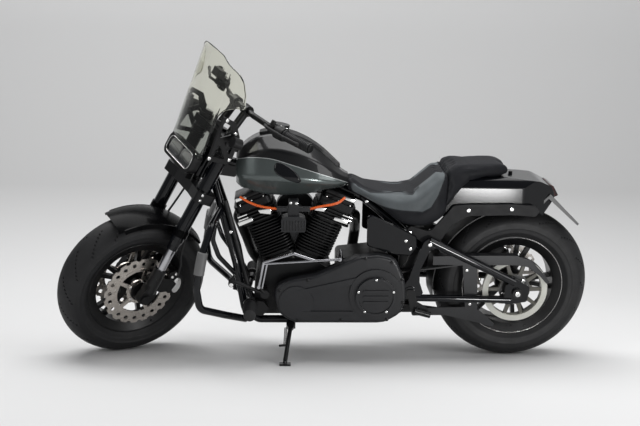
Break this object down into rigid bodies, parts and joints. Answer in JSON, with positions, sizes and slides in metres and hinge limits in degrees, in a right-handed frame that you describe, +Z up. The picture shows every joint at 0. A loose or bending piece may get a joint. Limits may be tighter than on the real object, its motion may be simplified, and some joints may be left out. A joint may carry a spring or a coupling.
{
  "type": "cruiser motorcycle",
  "caption": "Air-cooled V-twin cruiser motorcycle with fat tyres, low bar, tinted screen and two-up saddle, parked on its side stand.",
  "frame": {"origin": "centre of the bounding box's base, on the floor the machine stands on", "axes": "-X forward, -Y to the rider's left, +Z up; the machine leans to its left on its side stand with the bar turned left"},
  "size_m": [2.2338, 0.7596, 1.314],
  "materials": {
    "gloss_black": "gloss",
    "satin_black": "satin",
    "charcoal": "satin",
    "engine_black": "satin powder coat",
    "bright_steel": "machined",
    "chrome": "polished",
    "tyre": "matte",
    "rubber": "matte",
    "seat_skin": "matte vinyl",
    "smoke": "tinted",
    "clear": "clear",
    "red_lens": "gloss",
    "orange_lead": "silicone",
    "black_plastic": "textured"
  },
  "bodies": {
    "chassis": {"steering_head": "gloss_black", "frame_rails": "gloss_black", "pivot_plates": "satin_black", "swingarm": "gloss_black", "rear_axle": "bright_steel", "crankcase": "engine_black", "gearbox": "engine_black", "cylinder_barrels": "engine_black", "cylinder_heads": "engine_black", "pushrod_tubes": "chrome", "primary_cover": "charcoal", "inner_primary": "engine_black", "clutch_cover": "charcoal", "air_cleaner": "charcoal", "coil_cover": "charcoal", "plug_leads": "orange_lead", "fuel_tank": "gloss_black", "tank_console": "satin_black", "rider_seat": "seat_skin", "pillion_seat": "seat_skin", "rear_fender": "gloss_black", "inner_fender": "black_plastic", "fender_struts": "charcoal", "tail_lamp": "red_lens", "plate_holder": "black_plastic", "side_covers": "gloss_black", "drive_belt": "rubber", "belt_guards": "charcoal", "rear_caliper": "satin_black", "oil_cooler": "engine_black", "exhaust_headers": "satin_black", "mufflers": "satin_black", "engine_guard": "gloss_black", "foot_controls": "satin_black", "gear_lever": "satin_black", "shift_rods": "chrome"},
    "steering": {"triple_clamps": "satin_black", "fork_outer_tubes": "satin_black", "fork_sliders": "chrome", "fork_lugs": "satin_black", "front_axle": "bright_steel", "front_calipers": "satin_black", "front_fender": "gloss_black", "headlamp": "satin_black", "headlamp_lens": "clear", "windscreen": "smoke", "screen_brackets": "satin_black", "handlebar": "satin_black", "grips": "rubber", "bar_controls": "black_plastic", "front_indicators": "black_plastic", "brake_hoses": "rubber"},
    "front_wheel": {"front_tyre": "tyre", "front_wheel_casting": "satin_black", "front_brake_discs": "bright_steel"},
    "rear_wheel": {"rear_tyre": "tyre", "rear_wheel_casting": "satin_black", "rear_pulley": "bright_steel", "rear_brake_disc": "bright_steel"},
    "side_stand": {"side_stand": "satin_black"}
  },
  "joints": [
    {"name": "steering", "type": "hinge", "parent": "chassis", "child": "steering", "pos_m": [-0.95698, 0.10387, -0.00917], "axis": [0.4639, -0.1556, 0.8721], "range_deg": [-64, 0]},
    {"name": "front_wheel_spin", "type": "hinge", "parent": "steering", "child": "front_wheel", "pos_m": [-0.82223, 0.02903, 0.30387], "axis": [-0.4721, 0.7896, 0.392], "continuous": true},
    {"name": "rear_wheel_spin", "type": "hinge", "parent": "chassis", "child": "rear_wheel", "pos_m": [0.78792, 0.0459, 0.32585], "axis": [-0.0011, 0.9843, 0.1762], "continuous": true},
    {"name": "side_stand", "type": "hinge", "parent": "chassis", "child": "side_stand", "pos_m": [-0.15193, -0.07676, 0.14244], "axis": [-0.0033, -0.854, 0.5203], "range_deg": [0, 88]}
  ]
}
